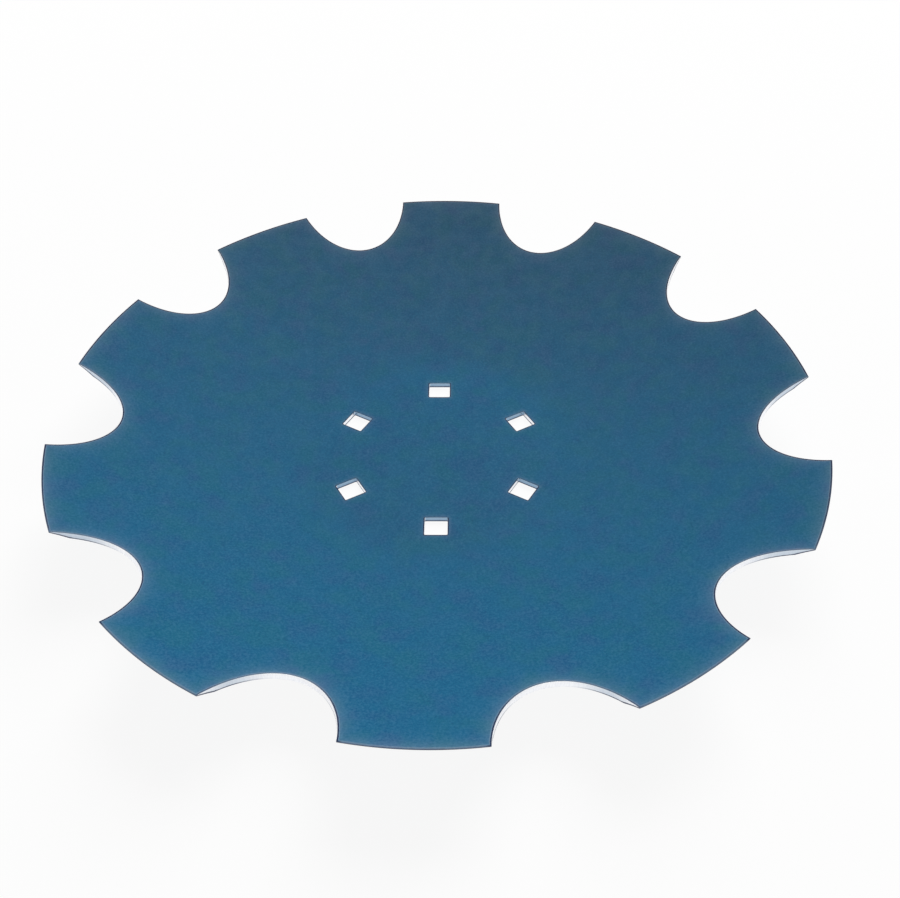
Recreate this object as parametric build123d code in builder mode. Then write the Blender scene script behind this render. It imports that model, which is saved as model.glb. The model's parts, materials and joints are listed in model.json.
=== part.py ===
from build123d import *
import os
from math import asin, cos, degrees, radians, sin, sqrt

# Blank, in millimetres
disc_diameter = 460.0
thickness = 3.5

# Dish: a shallow ball-shaped bowl, pressed round a flat seat for the hub
dish_radius = 640.0
seat_diameter = 144.0
seat_bend_radius = 150.0

# Cutting edge: the rim is ground from below to a bevel that leaves a narrow land
bevel_width = 9.0
edge_land = 0.8

# Notches: elliptical bites, narrow at the root and flaring towards the rim
notch_count = 10
notch_depth = 36.5
notch_half_width = 40.0
notch_half_length = 62.0
notch_clocking = -1.6

# Bolt holes: punched squares that keep the square necks of the bolts from turning
bolt_count = 6
bolt_circle_diameter = 120.0
bolt_hole_side = 13.5
bolt_hole_corner = 0.6
first_bolt_angle = 90.0

# Places that follow from the sizes above
rim_radius = disc_diameter / 2
seat_radius = seat_diameter / 2
bend_centre_height = thickness + seat_bend_radius
bowl_to_bend = dish_radius - seat_bend_radius
bowl_centre_height = bend_centre_height + sqrt(bowl_to_bend**2 - seat_radius**2)
bend_angle = degrees(asin(seat_radius / bowl_to_bend))
down = -90.0


def bowl_angle(radius, face_radius):
    """Angle between the axis and the point of a bowl face at a given radius, in degrees."""
    return degrees(asin(radius / face_radius))


def bowl_height(radius, face_radius):
    """Height of a bowl face at a given radius."""
    return bowl_centre_height - sqrt(face_radius**2 - radius**2)


def face_arcs(depth, end_radius):
    """Section of one face of the sheet, at a depth below the upper one: the bend, then the bowl."""
    bend_radius = seat_bend_radius + depth
    face_radius = dish_radius + depth
    bowl_sweep = bowl_angle(end_radius, face_radius) - bend_angle
    CenterArc((seat_radius, bend_centre_height), bend_radius, down, bend_angle)
    CenterArc((0, bowl_centre_height), face_radius, down + bend_angle, bowl_sweep)


# Half section of the sheet: seat, bend, bowl, land and bevel
rim_height = bowl_height(rim_radius, dish_radius)
land_foot = rim_height - edge_land
bevel_radius = rim_radius - bevel_width
bevel_height = bowl_height(bevel_radius, dish_radius + thickness)

# Notch tool, square to the sheet at the root of the first notch
root_radius = rim_radius - notch_depth
root_height = bowl_height(root_radius, dish_radius)
root_tilt = radians(bowl_angle(root_radius, dish_radius))
along_sheet = (cos(root_tilt), 0, sin(root_tilt))
out_of_sheet = (-sin(root_tilt), 0, cos(root_tilt))
root_plane = Plane(origin=(root_radius, 0, root_height), x_dir=along_sheet, z_dir=out_of_sheet)
tool_reach = rim_height

with BuildPart() as notch_tool:
    with BuildSketch(root_plane):
        with Locations((notch_half_length, 0)):
            Ellipse(notch_half_length, notch_half_width)
    extrude(amount=tool_reach, both=True)

# The first tooth stands beside the first bolt hole, turned from it by the clocking angle
notch_pitch = 360 / notch_count
first_notch_angle = first_bolt_angle + notch_pitch / 2 + notch_clocking

with BuildPart() as disc_blade:
    with BuildSketch(Plane.XZ):
        with BuildLine():
            Polyline((seat_radius, 0), (0, 0), (0, thickness), (seat_radius, thickness))
            face_arcs(0, rim_radius)
            Polyline((rim_radius, rim_height), (rim_radius, land_foot), (bevel_radius, bevel_height))
            face_arcs(thickness, bevel_radius)
        make_face()
    revolve(axis=Axis.Z)
    with PolarLocations(0, notch_count, start_angle=first_notch_angle):
        add(notch_tool.part, mode=Mode.SUBTRACT)
    with BuildSketch(Plane.XY):
        with PolarLocations(bolt_circle_diameter / 2, bolt_count, start_angle=first_bolt_angle):
            RectangleRounded(bolt_hole_side, bolt_hole_side, bolt_hole_corner)
    extrude(amount=thickness, mode=Mode.SUBTRACT)

disc_blade.part.label = "disc_blade"

os.makedirs("parts", exist_ok=True)
export_step(disc_blade.part, "parts/disc_blade.step")
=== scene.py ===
# %% [markdown]
# # A notched harrow disc blade
# The object is one sheet of steel: a round disc with ten bites out of its rim, six square holes for the
# hub's bolts, a shallow dish pressed into it, a bevel ground on the rim and a coat of satin blue paint. The
# engineering model is loaded first. It fixes where everything is and how large, in metres, so nothing in
# this lesson moves or resizes it. Its mesh is coarse, made for measuring, so the lesson builds a finer
# sheet in exactly the same place and lets that stand for it.

# %% Load the engineering model
import json
import math

import bmesh
import bpy
import numpy as np
from mathutils import Matrix, Vector
from mathutils.kdtree import KDTree


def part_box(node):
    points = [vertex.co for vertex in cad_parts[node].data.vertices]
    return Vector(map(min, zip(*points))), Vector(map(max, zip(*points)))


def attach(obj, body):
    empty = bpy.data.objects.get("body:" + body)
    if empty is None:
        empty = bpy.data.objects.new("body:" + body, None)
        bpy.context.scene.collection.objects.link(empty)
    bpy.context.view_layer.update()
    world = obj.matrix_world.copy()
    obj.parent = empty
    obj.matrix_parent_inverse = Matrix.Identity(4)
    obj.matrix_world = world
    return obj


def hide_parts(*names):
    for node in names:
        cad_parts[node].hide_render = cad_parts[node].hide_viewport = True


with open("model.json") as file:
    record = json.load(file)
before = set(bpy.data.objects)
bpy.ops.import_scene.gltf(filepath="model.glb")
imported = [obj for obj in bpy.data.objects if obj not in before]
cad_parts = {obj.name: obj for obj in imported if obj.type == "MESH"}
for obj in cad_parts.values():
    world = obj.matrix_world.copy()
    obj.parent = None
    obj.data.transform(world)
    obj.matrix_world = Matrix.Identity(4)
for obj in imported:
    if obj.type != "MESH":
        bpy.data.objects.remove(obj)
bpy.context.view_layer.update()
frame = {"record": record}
lowest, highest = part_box("disc_blade")
print("the blade reaches from", tuple(lowest), "to", tuple(highest))

# %% [markdown]
# ## The camera
# A photographer stood in front of the blade and looked down on it at about forty-four degrees. A camera can
# be placed by hand until the picture fits, or worked out from where known points of the object fall in the
# picture. Here it was worked out, so the place, the tilt and the lens are plain numbers. A camera is its
# own set of three directions, right, up and back, and these make its matrix.

# %% Camera
degree = math.pi / 180
camera_elevation = 44.24 * degree
camera_turn = 1.148 * degree
camera_roll = -0.768 * degree
camera_distance = 0.6877
camera_aim = Vector((0.0079, -0.0165, 0.0239))
camera_lens = 45.957
nearest_seen = 0.01

level_right = Vector((1, 0, 0))
level_back = Vector((0, -math.cos(camera_elevation), math.sin(camera_elevation)))
level_up = Vector((0, math.sin(camera_elevation), math.cos(camera_elevation)))
camera_right = math.cos(camera_roll) * level_right + math.sin(camera_roll) * level_up
camera_up = math.cos(camera_roll) * level_up - math.sin(camera_roll) * level_right
level_directions = Matrix((camera_right, camera_up, level_back)).transposed()
directions = Matrix.Rotation(camera_turn, 3, "Z") @ level_directions

camera = bpy.data.objects.new("camera", bpy.data.cameras.new("camera"))
bpy.context.scene.collection.objects.link(camera)
camera.data.lens = camera_lens
camera.data.clip_start = nearest_seen
camera_place = camera_aim + camera_distance * directions.col[2]
camera.matrix_world = Matrix.Translation(camera_place) @ directions.to_4x4()
bpy.context.scene.camera = camera
print("the camera stands at", tuple(round(x, 3) for x in camera.matrix_world.translation))

# %% [markdown]
# ## Floor and backdrop
# The blade lies on a white table in front of white paper. A plain white material under soft light would
# come out pale grey, and turning up the lamps would bleach the blade too. So the floor shows part of its
# white by itself, but only to the camera: Light Path tells a shader what kind of ray has hit it. The rest
# of the floor is ordinary paint, which keeps the shadow that holds the blade on the ground. Further out the
# share grows to one, so that the floor runs into the white world without a horizon, as a paper sweep does
# behind a real product.

# %% Floor
floor_half = 30.0
floor_own_white = 0.92
shadow_reach = 0.35
sweep_reach = 1.3
floor_paint = (0.9, 0.9, 0.9, 1)

bpy.ops.mesh.primitive_plane_add(size=2 * floor_half, location=(0, 0, lowest.z))
floor = bpy.context.object
floor.name = "floor"


def only_seen(tree):
    """A value that is one for rays that show the background: from the camera, off metal or through glass."""
    light_path = tree.nodes.new("ShaderNodeLightPath")
    seen = light_path.outputs["Is Camera Ray"]
    for kind in ("Is Glossy Ray", "Is Transmission Ray"):
        either = tree.nodes.new("ShaderNodeMath")
        either.operation = "MAXIMUM"
        tree.links.new(seen, either.inputs[0])
        tree.links.new(light_path.outputs[kind], either.inputs[1])
        seen = either.outputs[0]
    return seen


floor_material = bpy.data.materials.new("white_paper")
floor_material.use_nodes = True
tree = floor_material.node_tree
tree.nodes.clear()
paper = tree.nodes.new("ShaderNodeBsdfDiffuse")
paper.inputs["Color"].default_value = floor_paint
own_white = tree.nodes.new("ShaderNodeEmission")
from_blade = tree.nodes.new("ShaderNodeVectorMath")
from_blade.operation = "LENGTH"
tree.links.new(tree.nodes.new("ShaderNodeTexCoord").outputs["Object"], from_blade.inputs[0])
sweep = tree.nodes.new("ShaderNodeMapRange")
sweep.interpolation_type = "SMOOTHSTEP"
limits = {"From Min": shadow_reach, "From Max": sweep_reach, "To Min": floor_own_white, "To Max": 1.0}
for name, value in limits.items():
    sweep.inputs[name].default_value = value
tree.links.new(from_blade.outputs["Value"], sweep.inputs["Value"])
share = tree.nodes.new("ShaderNodeMath")
share.operation = "MULTIPLY"
blend = tree.nodes.new("ShaderNodeMixShader")
surface = tree.nodes.new("ShaderNodeOutputMaterial")
tree.links.new(only_seen(tree), share.inputs[0])
tree.links.new(sweep.outputs[0], share.inputs[1])
tree.links.new(share.outputs[0], blend.inputs[0])
tree.links.new(paper.outputs[0], blend.inputs[1])
tree.links.new(own_white.outputs[0], blend.inputs[2])
tree.links.new(blend.outputs[0], surface.inputs["Surface"])
floor.data.materials.append(floor_material)
print("under the blade the floor shows", floor_own_white, "of its white by itself")

# %% [markdown]
# ## Light
# The near side of the dish is more than half as bright again as the far side, and the left a little
# brighter than the right. The dish leans its near side away from the camera, so the main light has to come
# from behind, rather low and a little to the right. One close by would favour the far side, so it is a
# panel as large as a shop window, several metres off. A panel there would also be mirrored in the paint,
# and the picture shows no such glare, so glossy rays don't see it. What the picture does show is a faint
# grey sheen on the far side, where the blue is duller. It is taken for a mirrored ceiling, so there is a
# second panel straight above that only glossy rays see. The world fills in a little, and shows white
# wherever it is seen, also mirrored in the bare steel. The lamps leave a gap: in the picture the near rim is
# bluer, and the outer parts of the far side are brighter. A paint that changes across the blade could hide
# that, but it would look wrong in any other light, so the gap stays.

# %% Lamps and world
world_light = 0.08
window_power = 1070.0
window_size = 6.0
window_distance = 8.0
window_elevation = 35.5 * degree
window_turn = 16.2 * degree
ceiling_power = 100.0
ceiling_size = 2.0
ceiling_height = 3.0

world = bpy.data.worlds.new("studio")
world.use_nodes = True
bpy.context.scene.world = world
tree = world.node_tree
tree.nodes.clear()
fill = tree.nodes.new("ShaderNodeBackground")
fill.inputs["Strength"].default_value = world_light
white = tree.nodes.new("ShaderNodeBackground")
white.inputs["Strength"].default_value = 1.0
for background in (fill, white):
    background.inputs["Color"].default_value = (1, 1, 1, 1)
blend = tree.nodes.new("ShaderNodeMixShader")
sky = tree.nodes.new("ShaderNodeOutputWorld")
tree.links.new(only_seen(tree), blend.inputs[0])
tree.links.new(fill.outputs[0], blend.inputs[1])
tree.links.new(white.outputs[0], blend.inputs[2])
tree.links.new(blend.outputs[0], sky.inputs["Surface"])


def hang_panel(name, place, size, power):
    """A square lamp at a place, turned to the middle of the blade."""
    panel = bpy.data.objects.new(name, bpy.data.lights.new(name, "AREA"))
    bpy.context.scene.collection.objects.link(panel)
    panel.data.energy = power
    panel.data.size = size
    panel.location = place
    panel.rotation_euler = place.to_track_quat("Z", "Y").to_euler()
    return panel


towards_window = Vector((0, math.cos(window_elevation), math.sin(window_elevation)))
towards_window.rotate(Matrix.Rotation(-window_turn, 3, "Z"))
window = hang_panel("window_panel", window_distance * towards_window, window_size, window_power)
window.visible_glossy = False
ceiling = hang_panel("ceiling_panel", Vector((0, 0, ceiling_height)), ceiling_size, ceiling_power)
ceiling.visible_diffuse = False
bpy.context.scene.view_settings.view_transform = "Standard"
print("the window's middle is", round(window.location.z, 2), "m above the floor")

# %% [markdown]
# ## The section of the sheet
# Cut through the middle, the blade shows a flat seat for the hub, then a gentle bend, then a bowl that is
# part of a large ball. Each piece runs into the next without a kink, so a little right-angled geometry
# gives every place. One function holds it: how high the upper face is at a radius, and how far it leans
# there. Whatever is drawn flat can later be pressed into the dish by asking this function, as the real
# blank is pressed over a die. The slack is for finding points again: a point this near to a line counts as
# one on it.

# %% Section
mm = 0.001
sheet = 3.5 * mm
dish_radius = 640 * mm
seat_radius = 72 * mm
bend_radius = 150 * mm
rim_radius = highest.y
slack = 0.01 * mm

bend_centre_height = sheet + bend_radius
bowl_to_bend = dish_radius - bend_radius
bowl_centre_height = bend_centre_height + math.sqrt(bowl_to_bend**2 - seat_radius**2)
bend_end_radius = dish_radius * seat_radius / bowl_to_bend


def section(radius):
    """Height and lean, in radians, of the upper face at each radius."""
    on_bend = np.clip((radius - seat_radius) / bend_radius, 0, 1)
    bend_lean = np.arcsin(on_bend)
    bend_height = bend_centre_height - bend_radius * np.cos(bend_lean)
    bowl_lean = np.arcsin(radius / dish_radius)
    bowl_height = bowl_centre_height - dish_radius * np.cos(bowl_lean)
    in_bowl = radius > bend_end_radius
    return np.where(in_bowl, bowl_height, bend_height), np.where(in_bowl, bowl_lean, bend_lean)


rim_height = float(section(rim_radius)[0])
print("rim", round(rim_height / mm, 3), "mm up; the engineering model says", round(highest.z / mm, 3))

# %% [markdown]
# ## The edge that the press tool cuts
# Each notch is one end of an ellipse, punched square to the sheet. On the leaning sheet that ellipse is
# seen a little foreshortened from above, so the plan of its edge is worked out point by point: along the
# sheet, across it, and up to where the ball-shaped face lies. The flank of a notch then gives the half
# angle of a tooth at any radius, which the teeth need later.

# %% Notch edge in plan
notch_count = 10
notch_depth = 36.5 * mm
notch_half_width = 40 * mm
notch_half_length = 62 * mm
first_notch = 106.4 * degree
swing_steps = 2000
pitch = 2 * math.pi / notch_count

root_radius = rim_radius - notch_depth
root_lean = float(section(root_radius)[1])
swing = np.linspace(0, math.pi / 2, swing_steps + 1)
along = notch_half_length * (1 - np.cos(swing))
across = notch_half_width * np.sin(swing)
rise = dish_radius - np.sqrt(dish_radius**2 - along**2 - across**2)
outwards = root_radius + along * math.cos(root_lean) - rise * math.sin(root_lean)
edge_radius = np.hypot(outwards, across)
edge_angle = np.arctan2(across, outwards)
edge_travel = np.append(0, np.cumsum(np.hypot(np.diff(outwards), np.diff(across))))


def flank_angle(radius):
    """Angle between a notch's middle line and its flank at a radius."""
    return np.interp(radius, edge_radius, edge_angle)


print("at the rim a notch opens", round(2 * float(flank_angle(rim_radius)) / degree, 2), "degrees")

# %% [markdown]
# ## One ring of points round all the notches
# The finished mesh should have neat rows along every edge, because rounded edges and an even shine both
# need them. Cutting holes out of a disc with a Boolean leaves slivers there. So the edge comes first, as a
# circle whose points are moved: some onto the flanks of the notches, the rest along the line where the
# rim's bevel begins. The bevel takes 9 mm of the underside, and that line is the same place on the upper
# face.

# %% Ring round the notches
ring_points = 600
flank_steps = 19
bevel_width = 9 * mm
crease_radius = (rim_radius - bevel_width) * dish_radius / (dish_radius + sheet)
pitch_points = ring_points // notch_count
arc_steps = pitch_points - 2 * flank_steps


def points_of(piece):
    """The places of a piece's vertices, one row each."""
    places = np.empty(3 * len(piece.data.vertices))
    piece.data.vertices.foreach_get("co", places)
    return places.reshape(-1, 3)


def place_points(piece, places):
    """Moves a piece's vertices to these places."""
    piece.data.vertices.foreach_set("co", np.asarray(places, np.float32).ravel())
    piece.data.update()


def polar(radius, angle, height=0.0):
    """Points from a radius, an angle and a height."""
    return np.stack([radius * np.cos(angle), radius * np.sin(angle), height + 0 * radius], axis=-1)


even_travel = np.linspace(0, np.interp(crease_radius, edge_radius, edge_travel), flank_steps + 1)
flank_radii = np.interp(even_travel, edge_travel, edge_radius)
flank_angles = np.interp(even_travel, edge_travel, edge_angle)
arc_angles = np.linspace(flank_angles[-1], pitch - flank_angles[-1], arc_steps + 1)
pitch_radii = np.concatenate([flank_radii[:-1], np.full(arc_steps, crease_radius), flank_radii[:0:-1]])
pitch_angles = np.concatenate([flank_angles[:-1], arc_angles[:-1], pitch - flank_angles[:0:-1]])

bpy.ops.object.select_all(action="DESELECT")
bpy.ops.mesh.primitive_circle_add(vertices=ring_points, radius=crease_radius)
blade = bpy.context.object
blade.name = "painted_blade"
turns = first_notch + pitch * np.repeat(np.arange(notch_count), pitch_points)
place_points(blade, polar(np.tile(pitch_radii, notch_count), turns + np.tile(pitch_angles, notch_count)))
print(len(blade.data.vertices), "points,", flank_steps, "steps on each flank and", arc_steps, "on each tooth")

# %% [markdown]
# ## From the notches inwards
# A plain circle inside the notches gets as many points as the ring. Bridge Edge Loops joins the two with
# rows of four-sided faces that change step by step from the scalloped line to the round one. From there
# inwards the blade is round, so the circle is extruded and scaled towards the middle again and again.

# %% Bridge, then rows of rings
inner_ring_radius = 168 * mm
bridge_rows = 10
inward_rows = 18
bend_rows = 6


def select_points(piece, wanted):
    """In edit mode, selects the vertices whose place passes a test, and the edges and faces between them."""
    bpy.ops.mesh.select_mode(type="VERT")
    bpy.ops.mesh.select_all(action="DESELECT")
    cage = bmesh.from_edit_mesh(piece.data)
    for vertex in cage.verts:
        vertex.select = bool(wanted(vertex.co))
    cage.select_flush(True)
    bmesh.update_edit_mesh(piece.data)


def from_axis(place):
    """Distance of a place from the blade's axis."""
    return math.hypot(place.x, place.y)


bpy.ops.object.mode_set(mode="EDIT")
first_turn = (0, 0, first_notch)
bpy.ops.mesh.primitive_circle_add(vertices=ring_points, radius=inner_ring_radius, rotation=first_turn)
bpy.ops.mesh.select_all(action="SELECT")
bpy.ops.mesh.bridge_edge_loops(number_cuts=bridge_rows - 1, interpolation="LINEAR")
rows_to_bend = np.linspace(inner_ring_radius, bend_end_radius, inward_rows + 1)
rows_to_seat = np.linspace(bend_end_radius, seat_radius, bend_rows + 1)[1:-1]
row_radii = np.concatenate([rows_to_bend, rows_to_seat])
select_points(blade, lambda place: from_axis(place) < inner_ring_radius + slack)
for now, following in zip(row_radii, row_radii[1:]):
    bpy.ops.mesh.extrude_region_move()
    shrink = following / now
    bpy.ops.transform.resize(value=(shrink, shrink, 1), center_override=(0, 0, 0))
bpy.ops.object.mode_set(mode="OBJECT")
print(len(blade.data.polygons), "faces from the notches in to", round(row_radii[-1] / mm, 2), "mm")

# %% [markdown]
# ## The tips of the teeth
# Outside the bevel line only the teeth are left. Their arcs are extruded outwards row by row. A tooth
# narrows a little towards the rim, so each new row is drawn in to the flanks of the notches on either side
# of it.

# %% Tooth tips
tip_rows = 4


def half_tooth(radius):
    """Half the angle that a tooth takes up at a radius."""
    return pitch / 2 - float(flank_angle(radius))


def tooth_middle(angle):
    """Angle of the middle of the tooth that a place belongs to."""
    return first_notch + pitch * (math.floor((angle - first_notch) / pitch) + 0.5)


bpy.ops.object.mode_set(mode="EDIT")
select_points(blade, lambda place: from_axis(place) > crease_radius - slack)
tip_radii = np.linspace(crease_radius, rim_radius, tip_rows + 1)
for now, following in zip(tip_radii, tip_radii[1:]):
    bpy.ops.mesh.extrude_region_move()
    cage = bmesh.from_edit_mesh(blade.data)
    narrowing = half_tooth(following) / half_tooth(now)
    for vertex in [v for v in cage.verts if v.select]:
        angle = math.atan2(vertex.co.y, vertex.co.x)
        middle = tooth_middle(angle)
        angle = middle + (angle - middle) * narrowing
        vertex.co = (following * math.cos(angle), following * math.sin(angle), 0)
    bmesh.update_edit_mesh(blade.data)
bpy.ops.object.mode_set(mode="OBJECT")
print("a tooth's tip takes up", round(2 * half_tooth(rim_radius) / degree, 2), "degrees")

# %% [markdown]
# ## The seat and its square holes
# The hub's flange bears on a flat seat with six square holes, whose sides stop the bolts from turning. One
# sixth of the seat is modelled and turned round. It is a slice of a circle, closed with two straight sides
# to the middle, and inside it the square, its corners slightly rounded as a punch leaves them. The slice
# and the square have the same number of points, so a bridge fills the space between them with four-sided
# faces.

# %% One sixth of the seat
bolt_count = 6
bolt_holes = next(mount for mount in frame["record"]["mounts"] if mount["name"] == "bolt_holes")
bolt_circle_radius = bolt_holes["dims"]["pcd_mm"] * mm / 2
hole_side = 13.5 * mm
hole_corner = 0.6 * mm
corner_steps = 3
side_steps = 20
first_hole = 90 * degree
slice_half = math.pi / bolt_count
slice_points = ring_points // bolt_count + 2 * side_steps
hole_side_steps = slice_points // 4 - corner_steps
seat_rows = 9
angle_slack = 0.01 * degree
merge_distance = 0.001 * mm


def select_edges(piece, wanted):
    """In edit mode, selects the edges that pass a test."""
    bpy.ops.mesh.select_mode(type="EDGE")
    bpy.ops.mesh.select_all(action="DESELECT")
    cage = bmesh.from_edit_mesh(piece.data)
    for edge in cage.edges:
        edge.select_set(bool(wanted(edge)))
    bmesh.update_edit_mesh(piece.data)


def off_slice(place):
    """How far a place is turned from the middle of the slice, in radians."""
    return abs(math.atan2(place.y, place.x) - first_hole)


bpy.ops.object.select_all(action="DESELECT")
bpy.ops.mesh.primitive_circle_add(vertices=ring_points, radius=seat_radius)
seat = bpy.context.object
bpy.ops.object.mode_set(mode="EDIT")
select_points(seat, lambda place: off_slice(place) > slice_half + angle_slack)
bpy.ops.mesh.delete(type="VERT")
select_points(seat, lambda place: off_slice(place) > slice_half - angle_slack)
bpy.ops.mesh.extrude_vertices_move()
bpy.ops.transform.resize(value=(0, 0, 0), center_override=(0, 0, 0))
bpy.ops.mesh.select_all(action="SELECT")
bpy.ops.mesh.remove_doubles(threshold=merge_distance)
select_edges(seat, lambda edge: edge.calc_length() > seat_radius / 2)
bpy.ops.mesh.subdivide(number_cuts=side_steps - 1)
bpy.ops.mesh.select_all(action="DESELECT")
bpy.ops.mesh.select_mode(type="VERT")
bpy.ops.mesh.primitive_plane_add(size=hole_side, location=(0, bolt_circle_radius, 0))
bpy.ops.mesh.bevel(offset=hole_corner, segments=corner_steps, affect="VERTICES")
bpy.ops.mesh.delete(type="ONLY_FACE")
select_edges(seat, lambda edge: edge.calc_length() > hole_side / 2)
bpy.ops.mesh.subdivide(number_cuts=hole_side_steps - 1)
bpy.ops.mesh.select_all(action="SELECT")
bpy.ops.mesh.bridge_edge_loops(number_cuts=seat_rows - 1, interpolation="LINEAR")
print(slice_points, "points round the slice, which a hole with", hole_side_steps, "steps a side matches")

# %% [markdown]
# Spin with duplicates sets the slice five more times round the axis. Their shared sides are merged, the
# seat is joined to the rest, and one last bridge closes the narrow ring between them. The whole blank now
# lies flat, as it leaves the cutting press.

# %% The whole flat blank
bpy.ops.mesh.select_all(action="SELECT")
whole_turn = 2 * math.pi
bpy.ops.mesh.spin(steps=bolt_count - 1, dupli=True, angle=whole_turn - whole_turn / bolt_count,
                  center=(0, 0, 0), axis=(0, 0, 1))
bpy.ops.mesh.select_all(action="SELECT")
bpy.ops.mesh.remove_doubles(threshold=merge_distance)
bpy.ops.object.mode_set(mode="OBJECT")
bpy.ops.object.select_all(action="DESELECT")
seat.select_set(True)
blade.select_set(True)
bpy.context.view_layer.objects.active = blade
bpy.ops.object.join()
bpy.ops.object.mode_set(mode="EDIT")
gap_start = seat_radius - slack
gap_end = row_radii[-1] + slack
select_points(blade, lambda place: gap_start < from_axis(place) < gap_end)
bpy.ops.mesh.bridge_edge_loops()
bpy.ops.object.mode_set(mode="OBJECT")
cage = bmesh.new()
cage.from_mesh(blade.data)
open_sides = sum(edge.is_boundary for edge in cage.edges)
cage.free()
print("the flat blank has", len(blade.data.polygons), "faces and", open_sides, "open sides")

# %% [markdown]
# ## Pressing, thickness and grinding
# Pressing gives every point the height that the section has at its radius. Extruding the whole sheet on the
# spot then makes a second skin with walls between the two, and each point of that skin is pushed out along
# the line through the centre that its face is curved about, so the walls stand square to the sheet
# everywhere. Near the rim it is pushed less far: the grinding wheel has taken that steel away and left a
# bevel and a narrow land.

# %% Press the blank and give it its thickness
edge_land = 0.8 * mm
near_rim = rim_radius - slack

bevel_radius = rim_radius - bevel_width
bevel_height = bowl_centre_height - math.sqrt((dish_radius + sheet) ** 2 - bevel_radius**2)
bevel_slope = (rim_height - edge_land - bevel_height) / bevel_width


def ground_thickness(radius):
    """How thick the sheet is at a radius of the upper face, square to it, once the rim is ground."""
    height, lean = section(radius)
    to_bevel = height - bevel_height - bevel_slope * (radius - bevel_radius)
    return np.clip(to_bevel / (np.cos(lean) + bevel_slope * np.sin(lean)), 0, sheet)


flat = points_of(blade)
radii = np.hypot(flat[:, 0], flat[:, 1])
flat[:, 2] = section(radii)[0]
place_points(blade, flat)

bpy.ops.object.mode_set(mode="EDIT")
bpy.ops.mesh.select_mode(type="FACE")
bpy.ops.mesh.select_all(action="SELECT")
bpy.ops.mesh.extrude_region_move()
bpy.ops.object.mode_set(mode="OBJECT")
is_under = np.zeros(len(blade.data.vertices), bool)
blade.data.vertices.foreach_get("select", is_under)

skin = points_of(blade)
radii = np.hypot(skin[:, 0], skin[:, 1])
angles = np.arctan2(skin[:, 1], skin[:, 0])
heights, leans = section(radii)
depth = ground_thickness(radii)
under = polar(radii + depth * np.sin(leans), angles, heights - depth * np.cos(leans))
at_rim = radii > near_rim
under[at_rim] = polar(radii, angles, heights - edge_land)[at_rim]
skin[is_under] = under[is_under]
place_points(blade, skin)

bpy.ops.object.mode_set(mode="EDIT")
bpy.ops.mesh.select_all(action="SELECT")
bpy.ops.mesh.normals_make_consistent(inside=False)
bpy.ops.object.mode_set(mode="OBJECT")
print("the bevel rises", round(math.atan(bevel_slope) / degree, 1), "degrees")

# %% [markdown]
# ## Edges that catch the light
# No edge of a painted sheet is perfectly sharp: the paint rounds it. A Bevel modifier that works by angle
# finds all the cut edges by itself. The shallow line where the rim's bevel starts is left out: it stays a
# crisp line, marked sharp. Before that, the lines of the cut edges are noted in three sets, for the rim,
# the notches and the holes, because the paint later fades towards them. A KD tree is a list of places that
# can quickly say which of them is nearest. In the picture, edges and walls that face the near side look
# different from the others. One picture can't tell why, and here the difference is painted: a dark line of
# painted shade along the edges, and a bluer painted shade and reflection on the walls, both set by which
# way a wall faces. This lesson guesses that the paint was sprayed from the near side, so that the others
# caught less of it. Each place therefore also gets a number for how far its wall is turned away: 0 where it
# faces that guessed spray gun, 1 where it faces the other way. Seen from elsewhere, the edges look uneven
# for it.

# %% Note the cut edges
cut_edge_angle = 40 * degree
note_spacing = 0.4 * mm
# The near side, against which the painted shade on edges and walls is set.
towards_near_side = Vector((0, -1, 0))


def noted(lines):
    """Search tree of places along straight lines, and how far each is turned away from the near side."""
    places = []
    turned = []
    for start, end, turned_away in lines:
        steps = max(1, round((end - start).length / note_spacing))
        places += [start.lerp(end, step / steps) for step in range(steps)]
        turned += steps * [turned_away]
    tree = KDTree(len(places))
    for number, place in enumerate(places):
        tree.insert(place, number)
    tree.balance()
    return tree, np.array(turned)


cut_lines = {"to_rim": [], "to_notch": [], "to_hole": []}
cage = bmesh.new()
cage.from_mesh(blade.data)
for edge in cage.edges:
    if edge.calc_face_angle(0) > cut_edge_angle:
        start, end = (corner.co.copy() for corner in edge.verts)
        wall = min(edge.link_faces, key=lambda face: abs(face.normal.z))
        nearer = min(from_axis(start), from_axis(end))
        which = "to_hole" if nearer < seat_radius else "to_notch" if nearer < near_rim else "to_rim"
        cut_lines[which].append((start, end, (1 - wall.normal.dot(towards_near_side)) / 2))
cage.free()
edge_trees = {name: noted(lines) for name, lines in cut_lines.items()}
print({name: len(lines) for name, lines in cut_lines.items()}, "steps of cut edge")

# %% [markdown]
# The Bevel modifier replaces each sharp edge with a narrow rounded strip. Weighted Normal then lets the
# large faces decide how light runs over the small ones, so that the flats stay flat and only the strips
# curve. Both are applied, because the shape is finished here.

# %% Round the cut edges and smooth the rest
edge_rounding = 0.25 * mm
rounding_steps = 2


def on_bevel_line(place):
    """Whether a place lies on the line where the rim's bevel starts."""
    return abs(place.z - bevel_height) < slack and abs(from_axis(place) - bevel_radius) < slack


bpy.ops.object.mode_set(mode="EDIT")
select_points(blade, on_bevel_line)
bpy.ops.mesh.mark_sharp()
bpy.ops.object.mode_set(mode="OBJECT")

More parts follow.
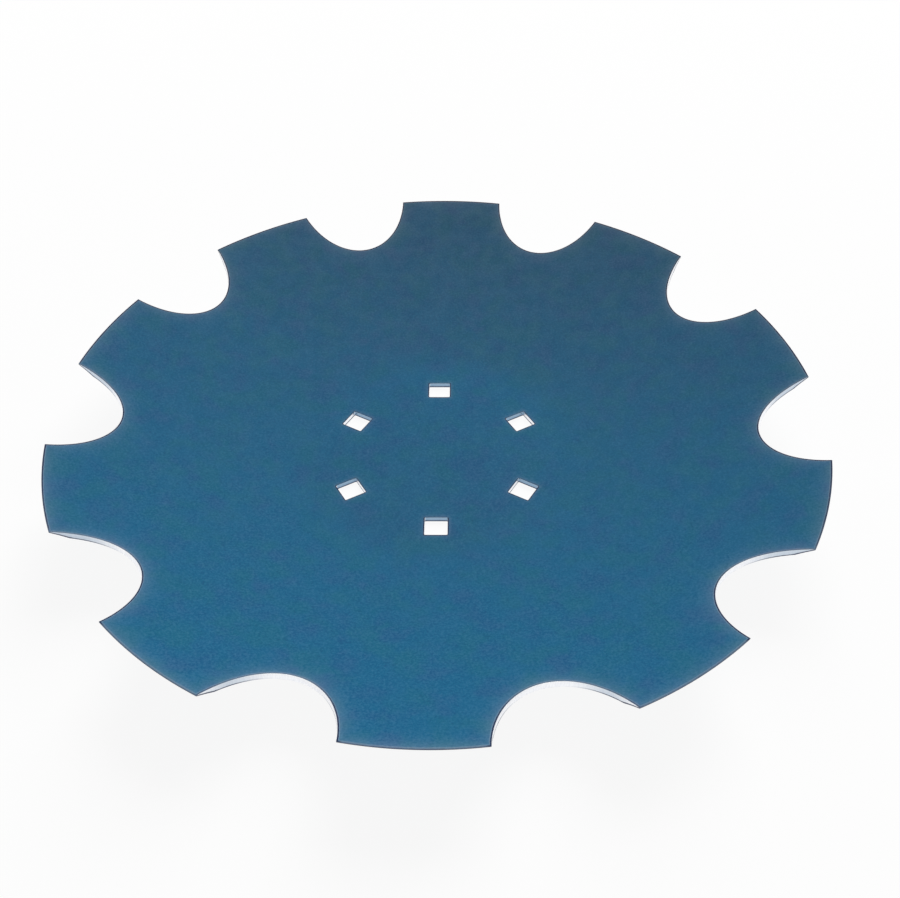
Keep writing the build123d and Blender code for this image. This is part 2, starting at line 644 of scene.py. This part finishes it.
rounding = blade.modifiers.new("paint_rounds_the_edges", "BEVEL")
rounding.width = edge_rounding
rounding.segments = rounding_steps
rounding.limit_method = "ANGLE"
rounding.angle_limit = cut_edge_angle
rounding.use_clamp_overlap = False
evening = blade.modifiers.new("even_shine", "WEIGHTED_NORMAL")
evening.keep_sharp = True
for polygon in blade.data.polygons:
    polygon.use_smooth = True
bpy.ops.object.select_all(action="DESELECT")
blade.select_set(True)
bpy.context.view_layer.objects.active = blade
for modifier in list(blade.modifiers):
    bpy.ops.object.modifier_apply(modifier=modifier.name)
triangles = sum(len(polygon.vertices) - 2 for polygon in blade.data.polygons)
print("edges rounded by", edge_rounding / mm, "mm; the blade has", triangles, "triangles")

# %% [markdown]
# ## Notes on the mesh for the paint
# The paint needs to know how near it is to a cut edge. A shader can't measure that well, but a mesh can
# carry a number at each point, which Blender calls an attribute. Three hold the distances to the rim, to
# the notches and to the holes. They are kept apart because between two points a shader draws each number as
# a straight slope, and only the lesser of two slopes gives a tooth's corner its true shape. A fourth says
# how far the nearest wall is turned away from the near side, which sets the painted shade on edges and
# walls, and a fifth how much of a cut wall is left below a point. A fourth says how far the nearest wall is
# turned away from the guessed spray gun, and a fifth how much of a cut wall is left below a point.

# %% Distances kept on the mesh
def keep_number(piece, name, values):
    """Stores one number for each vertex, for a shader to read."""
    attribute = piece.data.attributes.new(name, "FLOAT", "POINT")
    attribute.data.foreach_set("value", np.asarray(values, np.float32))


def depth_in_sheet(places):
    """How far places lie below the upper face, square to it."""
    radius = np.hypot(places[:, 0], places[:, 1])
    in_seat = sheet - places[:, 2]
    in_bend = np.hypot(radius - seat_radius, bend_centre_height - places[:, 2]) - bend_radius
    in_bowl = np.hypot(radius, bowl_centre_height - places[:, 2]) - dish_radius
    return np.select([radius < seat_radius, radius < bend_end_radius], [in_seat, in_bend], in_bowl)


finished = points_of(blade)
nearest = np.full(len(finished), np.inf)
turned_away = np.zeros(len(finished))
for name, (edge_tree, turned) in edge_trees.items():
    found = [edge_tree.find(place) for place in finished]
    numbers = [number for place, number, distance in found]
    distances = np.array([distance for place, number, distance in found])
    turned_away = np.where(distances < nearest, turned[numbers], turned_away)
    nearest = np.minimum(nearest, distances)
    keep_number(blade, name, distances)
    print(name, "at most", round(distances.max() / mm), "mm")
keep_number(blade, "turned_away", turned_away)
finished_radii = np.hypot(finished[:, 0], finished[:, 1])
wall_foot = np.where(finished_radii > near_rim, edge_land, ground_thickness(finished_radii))
keep_number(blade, "wall_below", wall_foot - depth_in_sheet(finished))

# %% [markdown]
# ## Shader helpers
# A material is a tree of nodes, and small helpers keep the next cells short. The first two add a node with
# its settings and its inputs. Three more do a sum, mix two colours and run a value smoothly from one number
# to another. A node group is a bench-made tool that any material can use: one helper makes a group and one
# places it. The last two give noise and the places that it is drawn at.

# %% Helpers for node trees
SOCKET_KINDS = {"value": "NodeSocketFloat", "colour": "NodeSocketColor"}
SHARE_SOCKET = 0
FIRST_COLOUR_SOCKET = 6
SECOND_COLOUR_SOCKET = 7
MIXED_COLOUR_SOCKET = 2


def fill_inputs(tree, made, inputs):
    """Fills a node's inputs, by name or number, with numbers, colours or the outputs of other nodes."""
    for name, value in inputs.items():
        if isinstance(value, bpy.types.NodeSocket):
            tree.links.new(value, made.inputs[name])
        else:
            made.inputs[name].default_value = value


def node(tree, kind, inputs=None, **settings):
    """Adds a node with its settings and its inputs."""
    made = tree.nodes.new(kind)
    for name, value in settings.items():
        setattr(made, name, value)
    fill_inputs(tree, made, inputs or {})
    return made


def maths(tree, operation, first, second=0.0):
    """One sum, with its result."""
    return node(tree, "ShaderNodeMath", {0: first, 1: second}, operation=operation).outputs[0]


def mixed(tree, share, first, second):
    """Two colours mixed, with the result."""
    inputs = {SHARE_SOCKET: share, FIRST_COLOUR_SOCKET: first, SECOND_COLOUR_SOCKET: second}
    return node(tree, "ShaderNodeMix", inputs, data_type="RGBA").outputs[MIXED_COLOUR_SOCKET]


def ramped(tree, value, low, high, bottom=0.0, top=1.0):
    """A value that runs smoothly from bottom to top while another runs from low to high."""
    inputs = {"Value": value, "From Min": low, "From Max": high, "To Min": bottom, "To Max": top}
    return node(tree, "ShaderNodeMapRange", inputs, interpolation_type="SMOOTHSTEP").outputs[0]


def group_of(name, inputs, outputs):
    """A new node group with its sockets, and the nodes at its two ends."""
    tree = bpy.data.node_groups.new(name, "ShaderNodeTree")
    for direction, sockets in (("INPUT", inputs), ("OUTPUT", outputs)):
        for socket, kind in sockets.items():
            tree.interface.new_socket(name=socket, in_out=direction, socket_type=SOCKET_KINDS[kind])
    return tree, tree.nodes.new("NodeGroupInput").outputs, tree.nodes.new("NodeGroupOutput").inputs


def use(tree, group, inputs):
    """Places a node group in a material and gives its outputs."""
    return node(tree, "ShaderNodeGroup", inputs, node_tree=group).outputs


def noise(tree, places, size, detail=2.0, roughness=0.5):
    """Noise whose blots are about this large, from 0 to 1."""
    inputs = {"Vector": places, "Scale": 1 / size, "Detail": detail, "Roughness": roughness}
    return node(tree, "ShaderNodeTexNoise", inputs).outputs[0]


def stretched(tree, factors):
    """Object coordinates, scaled along each axis."""
    places = node(tree, "ShaderNodeTexCoord").outputs["Object"]
    return node(tree, "ShaderNodeMapping", {"Vector": places, "Scale": factors}).outputs[0]


even_places = (1, 1, 1)
print("helpers ready")

# %% [markdown]
# ## Effects that the finishes share
# Towards an edge a coat of paint draws thin, so the first group turns a distance into a mask that fades
# away exponentially. The second makes a narrow line along an edge, full for most of its width and then
# quickly gone. No such line is ruler-straight on a real blade, so noise makes its width wander. The third
# clouds a colour: soft patches that lean to green or to purple, and a fine grain. The fourth is the skin of
# sprayed paint, which is never quite flat: makers call it orange peel. A group gives only masks, colours
# and heights, and each material decides what they do.

# %% Node groups
edge_fade, given, result = group_of("edge_fade", {"Distance": "value", "Reach": "value"}, {"Mask": "value"})
fall = maths(edge_fade, "DIVIDE", given["Distance"], given["Reach"])
edge_fade.links.new(maths(edge_fade, "EXPONENT", maths(edge_fade, "MULTIPLY", fall, -1.0)), result["Mask"])

wander_size = 2.2 * mm
wander_octaves = 3.0
full_line_share = 0.7
line_inputs = {"Distance": "value", "Width": "value", "Wander": "value"}
edge_line, given, result = group_of("edge_line", line_inputs, {"Mask": "value"})
wander = noise(edge_line, stretched(edge_line, even_places), wander_size, wander_octaves)
wander = maths(edge_line, "MULTIPLY", maths(edge_line, "SUBTRACT", wander, 0.5), given["Wander"])
in_widths = maths(edge_line, "DIVIDE", maths(edge_line, "ADD", given["Distance"], wander), given["Width"])
edge_line.links.new(ramped(edge_line, in_widths, full_line_share, 1, 1, 0), result["Mask"])

patch_size = 17 * mm
patch_octaves = 3.0
patch_start = 0.42
patch_full = 0.68
second_patch_shift = (3.1, 1.7, 0.9)
grain_size = 1.3 * mm
grain_octaves = 3.0
grain_roughness = 0.7
cloud_inputs = {"Colour": "colour", "First tint": "colour", "Second tint": "colour", "Grain tone": "colour"}
clouded, given, result = group_of("clouded_colour", cloud_inputs, {"Colour": "colour"})
here = stretched(clouded, even_places)
first_patches = noise(clouded, here, patch_size, patch_octaves)
first_patches = ramped(clouded, first_patches, patch_start, patch_full)
elsewhere = node(clouded, "ShaderNodeMapping", {"Vector": here, "Location": second_patch_shift}).outputs[0]
second_patches = noise(clouded, elsewhere, patch_size, patch_octaves)
second_patches = ramped(clouded, second_patches, patch_start, patch_full)
tinted = mixed(clouded, first_patches, given["Colour"], given["First tint"])
tinted = mixed(clouded, second_patches, tinted, given["Second tint"])
grain = maths(clouded, "SUBTRACT", noise(clouded, here, grain_size, grain_octaves, grain_roughness), 0.5)
added = {0: given["Grain tone"], 1: grain, 2: tinted}
grained = node(clouded, "ShaderNodeVectorMath", added, operation="MULTIPLY_ADD")
clouded.links.new(grained.outputs[0], result["Colour"])

peel_size = 1.6 * mm
ripple_size = 60 * mm
peel_inputs = {"Peel": "value", "Ripple": "value"}
paint_skin, given, result = group_of("paint_skin", peel_inputs, {"Height": "value"})
here = stretched(paint_skin, even_places)
peel = maths(paint_skin, "MULTIPLY", noise(paint_skin, here, peel_size), given["Peel"])
ripple = maths(paint_skin, "MULTIPLY", noise(paint_skin, here, ripple_size, detail=0.0), given["Ripple"])
paint_skin.links.new(maths(paint_skin, "ADD", peel, ripple), result["Height"])
print("groups:", [group.name for group in bpy.data.node_groups])

# %% [markdown]
# ## Blue paint
# The paint is a deep, slightly green blue. It is almost matt, so most of what shows is the paint's own
# colour. Under it all lies one blue, clouded by the group above. Around the outline the coat draws thin and
# looks paler and greyer for a few millimetres, and round the holes for about one. Right on a cut edge the
# picture has a thin dark line of painted shade with a paler painted highlight inside it; the picture's own
# sharpening may add to both. On edges that face the near side the painted shade is weak, and on all others
# full. Minimum gives the lesser of two distances, so that the outline is one edge.

# %% Colour of the paint
paint_blue = (0.001, 0.0893, 0.185, 1)
paint_purple = (0.007, 0.0803, 0.180, 1)
paint_green = (0.002, 0.0932, 0.169, 1)
paint_grain = (0.075, 0.130, 0.165, 1)
# The thin coat's paler tone, also used for the painted highlight along the edges.
thin_coat_and_highlight = (0.58, 0.62, 0.70, 1)
# The dark tone of the painted shade along the cut edges.
edge_shade_tone = (0.004, 0.014, 0.048, 1)
outline_reach = 4.2 * mm
outline_share = 0.1
hole_reach = 1.3 * mm
hole_share = 0.1
highlight_width = 1.5 * mm
highlight_share = 0.13
dark_line = 1.05 * mm
hole_line = 0.85 * mm
dark_share_facing = 0.3
dark_share_away = 1.0
full_share_turn = 0.45
line_wander = 0.6 * mm


def new_material(name):
    """An empty material with a Principled shader, and its tree."""
    material = bpy.data.materials.new(name)
    material.use_nodes = True
    return material, material.node_tree, material.node_tree.nodes["Principled BSDF"]


def mesh_number(tree, name):
    """A number that the mesh carries."""
    return node(tree, "ShaderNodeAttribute", attribute_name=name).outputs["Fac"]


def thinned(tree, colour, distance, reach, share):
    """A colour that turns paler towards an edge."""
    mask = use(tree, edge_fade, {"Distance": distance, "Reach": reach})["Mask"]
    return mixed(tree, maths(tree, "MULTIPLY", mask, share), colour, thin_coat_and_highlight)


def lined(tree, colour, distance, width, share, tone):
    """A colour with a narrow line of another tone along an edge."""
    line = use(tree, edge_line, {"Distance": distance, "Width": width, "Wander": line_wander})["Mask"]
    return mixed(tree, maths(tree, "MULTIPLY", line, share), colour, tone)


def painted(tree):
    """The paint's colour, thinned towards the edges, with painted shade and a painted highlight on them."""
    tints = {"First tint": paint_purple, "Second tint": paint_green}
    tones = {"Colour": paint_blue, "Grain tone": paint_grain, **tints}
    colour = use(tree, clouded, tones)["Colour"]
    to_outline = maths(tree, "MINIMUM", mesh_number(tree, "to_rim"), mesh_number(tree, "to_notch"))
    to_hole = mesh_number(tree, "to_hole")
    colour = thinned(tree, colour, to_outline, outline_reach, outline_share)
    colour = thinned(tree, colour, to_hole, hole_reach, hole_share)
    # A narrow painted highlight just inside each cut edge.
    colour = lined(tree, colour, to_outline, highlight_width, highlight_share, thin_coat_and_highlight)
    # A narrow line of painted shade on each cut edge, weak where the wall faces the near side.
    turn = mesh_number(tree, "turned_away")
    dark_share = ramped(tree, turn, 0, full_share_turn, dark_share_facing, dark_share_away)
    colour = lined(tree, colour, to_outline, dark_line, dark_share, edge_shade_tone)
    return lined(tree, colour, to_hole, hole_line, dark_share, edge_shade_tone)


print("the coat thins over", outline_reach / mm, "mm")

# %% [markdown]
# The paint's relief and shine go into the same shader. Bump turns a height into a slope that only the light
# sees. A number that is the same all over is written straight into the shader's own socket.

# %% Blue paint
micron = 1e-6
skin_relief = 9 * micron
paint_sheen = 0.28
peel_height = 1.0
ripple_height = 12.0
blotch_size = 9 * mm
satin_roughness = 0.64
matt_roughness = 0.715
noise_low = 0.3
noise_high = 0.7


def coated(tree, shader, height, roughness):
    """Gives a shader the paint's colour and sheen, with its own relief and roughness."""
    tree.links.new(painted(tree), shader.inputs["Base Color"])
    bump = node(tree, "ShaderNodeBump", {"Strength": 1.0, "Distance": skin_relief, "Height": height})
    tree.links.new(bump.outputs[0], shader.inputs["Normal"])
    tree.links.new(roughness, shader.inputs["Roughness"])
    shader.inputs["Specular IOR Level"].default_value = paint_sheen


blue_paint, tree, shader = new_material("blue_paint")
skin = use(tree, paint_skin, {"Peel": peel_height, "Ripple": ripple_height})["Height"]
blotches = noise(tree, stretched(tree, even_places), blotch_size)
sheen = ramped(tree, blotches, noise_low, noise_high, satin_roughness, matt_roughness)
coated(tree, shader, skin, sheen)
print("the blue paint has", len(tree.nodes), "nodes")

# %% [markdown]
# ## Ground bevel
# The picture doesn't show the underside, so the bevel and its finish are guesses. Such rims are ground
# before they are painted, and the wheel's marks run from the edge inwards and show through the coat. Their
# pattern turns with the blade, so it is drawn in polar form: Arctan2 gives the angle of a place, and noise
# that changes along that angle, and hardly with the height, makes lines that point to the axis.

# %% Ground bevel
mark_width = 0.5 * mm
mark_depth = 3.0
mark_squeeze = 0.06
mark_octaves = 3.0
ground_smooth = 0.55
ground_rough = 0.72

ground_paint, tree, shader = new_material("painted_bevel")
place = node(tree, "ShaderNodeSeparateXYZ", {0: stretched(tree, even_places)})
turn = maths(tree, "ARCTAN2", place.outputs["Y"], place.outputs["X"])
round_rim = maths(tree, "MULTIPLY", turn, rim_radius)
across_rim = maths(tree, "MULTIPLY", place.outputs["Z"], mark_squeeze)
unrolled = node(tree, "ShaderNodeCombineXYZ", {"X": round_rim, "Y": across_rim}).outputs[0]
marks = noise(tree, unrolled, mark_width, mark_octaves)
skin = use(tree, paint_skin, {"Peel": peel_height, "Ripple": 0.0})["Height"]
relief = maths(tree, "ADD", skin, maths(tree, "MULTIPLY", marks, mark_depth))
sheen = ramped(tree, marks, noise_low, noise_high, ground_smooth, ground_rough)
coated(tree, shader, relief, sheen)
print("the bevel's marks are", mark_width / mm, "mm wide")

# %% [markdown]
# ## Cut steel
# The walls of the notches look almost white in the picture, as bright steel does where it mirrors a white
# table. A cut wall has two bands: the tool burnishes the upper part, and the rest breaks and is duller.
# Fine lines run the way the tool went, through the sheet. A metallic shader gives the mirror, its roughness
# the two bands. Of the walls that face the near side, some look bluer and darker: most in the narrow holes,
# less near the teeth's tips, and none at the roots of the notches, which stay white. That is painted shade
# and painted reflection, of the shaded floor and the blue walls, given to just those walls. The lesson
# guesses that a mist of paint from the gun settled on just those. In the holes and near the tips the foot of
# a wall has a dark line of painted shade.

# %% Cut steel
steel_bright = (0.97, 0.98, 1.0, 1)
steel_dull = (0.90, 0.91, 0.95, 1)
# Painted shade: the dark tone along the foot of a wall.
foot_shade_tone = (0.04, 0.05, 0.10, 1)
# Painted shade and reflection: a bluer, darker tone for walls that face the near side.
wall_shade_tone = (0.29, 0.42, 0.56, 1)
tip_shade_share = 0.5
tip_shade_to = 16 * mm
tip_shade_ends = 42 * mm
burnished_share = 0.4
foot_line = 0.9 * mm
hole_foot_line = 1.2 * mm
foot_wander = 0.3 * mm
foot_shade_share = 0.9
facing_turn = 0.1
away_turn = 0.22
streak_size = 0.7 * mm
streak_squeeze = (1, 1, 0.08)
streak_octaves = 3.0
streak_start = 0.35
streak_full = 0.65
streak_relief = 12 * micron
streak_strength = 0.6
band_blur = 0.1
burnished_roughness = 0.3
broken_roughness = 0.5

cut_steel, tree, shader = new_material("cut_steel")
streaks = noise(tree, stretched(tree, streak_squeeze), streak_size, streak_octaves)
left = mesh_number(tree, "wall_below")
band_edge = 1 - burnished_share
is_burnished = ramped(tree, left, sheet * (band_edge - band_blur), sheet * (band_edge + band_blur))
colour = mixed(tree, ramped(tree, streaks, streak_start, streak_full), steel_dull, steel_bright)
is_in_hole = ramped(tree, mesh_number(tree, "to_notch"), hole_side, 2 * hole_side)
is_at_tip = ramped(tree, mesh_number(tree, "to_rim"), tip_shade_to, tip_shade_ends, 1, 0)
faces_near_side = ramped(tree, mesh_number(tree, "turned_away"), facing_turn, away_turn, 1, 0)
# Painted shade and reflection on walls that face the near side: full in the holes, less near the tips.
wall_shade_share = maths(tree, "MAXIMUM", is_in_hole, maths(tree, "MULTIPLY", is_at_tip, tip_shade_share))
colour = mixed(tree, maths(tree, "MULTIPLY", wall_shade_share, faces_near_side), colour, wall_shade_tone)
# A dark line of painted shade along the foot of a wall, in the holes and near the tips.
foot_width = maths(tree, "ADD", foot_line, maths(tree, "MULTIPLY", is_in_hole, hole_foot_line - foot_line))
foot = use(tree, edge_line, {"Distance": left, "Width": foot_width, "Wander": foot_wander})["Mask"]
foot = maths(tree, "MULTIPLY", foot, maths(tree, "MAXIMUM", is_in_hole, is_at_tip))
colour = mixed(tree, maths(tree, "MULTIPLY", foot, foot_shade_share), colour, foot_shade_tone)
tree.links.new(colour, shader.inputs["Base Color"])
gloss = ramped(tree, is_burnished, 0, 1, broken_roughness, burnished_roughness)
tree.links.new(gloss, shader.inputs["Roughness"])
scratches = {"Strength": streak_strength, "Distance": streak_relief, "Height": streaks}
tree.links.new(node(tree, "ShaderNodeBump", scratches).outputs[0], shader.inputs["Normal"])
shader.inputs["Metallic"].default_value = 1.0
print("the upper", round(100 * burnished_share), "percent of a wall is burnished")

# %% [markdown]
# ## Which face gets which finish
# Each face is asked where it is and which way it looks. A face that stands square to the sheet is a cut
# wall. One that looks down outside the bevel line is the ground bevel. All the others are paint, rounded
# edges included.

# %% Finishes onto faces
wall_limit = 0.42
paint_number, bevel_number, steel_number = range(3)


def of_faces(piece, name):
    """The centre or the normal of each of a piece's faces, one row each."""
    rows = np.empty(3 * len(piece.data.polygons))
    piece.data.polygons.foreach_get(name, rows)
    return rows.reshape(-1, 3)


for material in (blue_paint, ground_paint, cut_steel):
    blade.data.materials.append(material)
centres = of_faces(blade, "center")
facings = of_faces(blade, "normal")
centre_radii = np.hypot(centres[:, 0], centres[:, 1])
leans = section(centre_radii)[1]
facing_outwards = (centres[:, 0] * facings[:, 0] + centres[:, 1] * facings[:, 1]) / centre_radii
out_of_sheet = facings[:, 2] * np.cos(leans) - facing_outwards * np.sin(leans)
is_wall = np.abs(out_of_sheet) < wall_limit
is_bevel = (facings[:, 2] < 0) & (centre_radii > bevel_radius) & ~is_wall
finishes = np.select([is_wall, is_bevel], [steel_number, bevel_number], paint_number)
blade.data.polygons.foreach_set("material_index", finishes.astype(np.int32))
blade.data.update()
print(is_wall.sum(), "faces of cut steel and", is_bevel.sum(), "of ground bevel")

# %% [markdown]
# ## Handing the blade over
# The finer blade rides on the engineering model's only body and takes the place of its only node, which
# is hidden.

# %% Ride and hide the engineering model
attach(blade, "root")
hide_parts("disc_blade")
